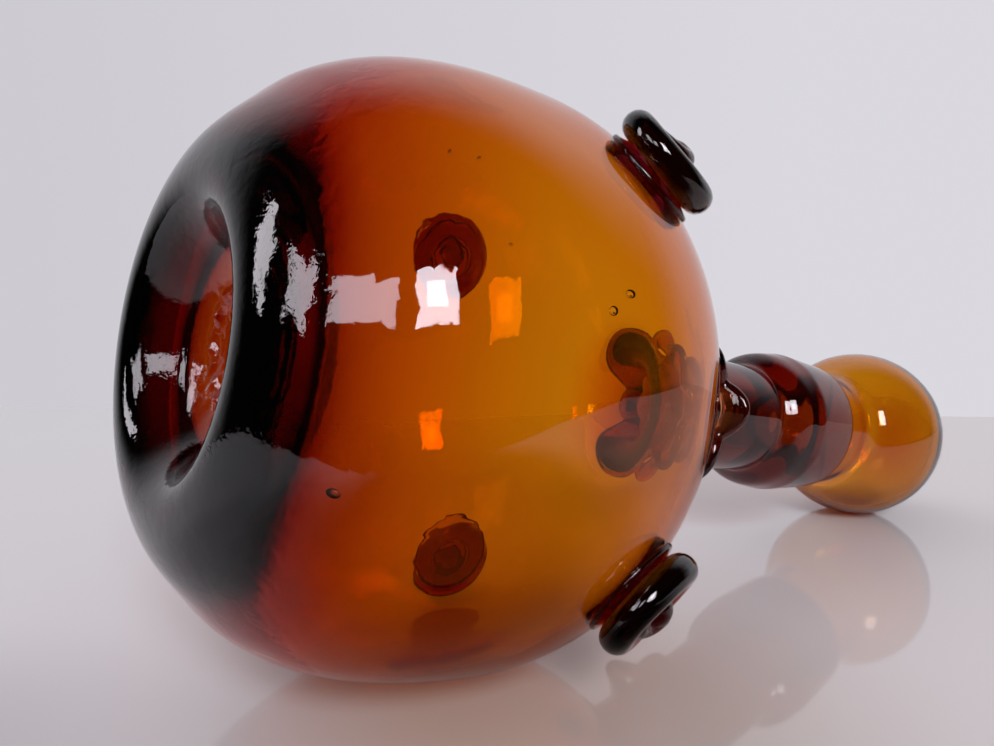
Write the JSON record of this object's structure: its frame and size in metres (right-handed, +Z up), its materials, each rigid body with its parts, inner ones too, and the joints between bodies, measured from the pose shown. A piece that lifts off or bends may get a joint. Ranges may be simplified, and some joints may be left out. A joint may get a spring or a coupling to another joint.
{
  "type": "decanter",
  "caption": "Round blown-glass decanter with a punt, a flared neck, a ruffled collar, coiled glass prunts and a hollow ball stopper.",
  "frame": {"origin": "centre of the foot ring, on the surface that the decanter stands on", "axes": "+Z up along the axis of the body, neck and stopper"},
  "size_m": [0.135, 0.135, 0.2766],
  "materials": {
    "amber_glass": "fire-polished blown glass, amber, darker where it is thick",
    "dark_amber_glass": "fire-polished trailed glass, very dark amber",
    "pale_amber_glass": "fire-polished blown glass, golden amber"
  },
  "bodies": {
    "vessel": {"bottle": "amber_glass", "collar": "dark_amber_glass", "prunt_1_pad": "dark_amber_glass", "prunt_1_coil": "dark_amber_glass", "prunt_2_pad": "dark_amber_glass", "prunt_2_coil": "dark_amber_glass", "prunt_3_pad": "dark_amber_glass", "prunt_3_coil": "dark_amber_glass", "prunt_4_pad": "dark_amber_glass", "prunt_4_coil": "dark_amber_glass"},
    "stopper": {"stopper": "pale_amber_glass"}
  },
  "joints": [
    {"name": "stopper_lift", "type": "slide", "parent": "vessel", "child": "stopper", "axis": [0, 0, 1], "range_m": [0, 0.04]}
  ]
}
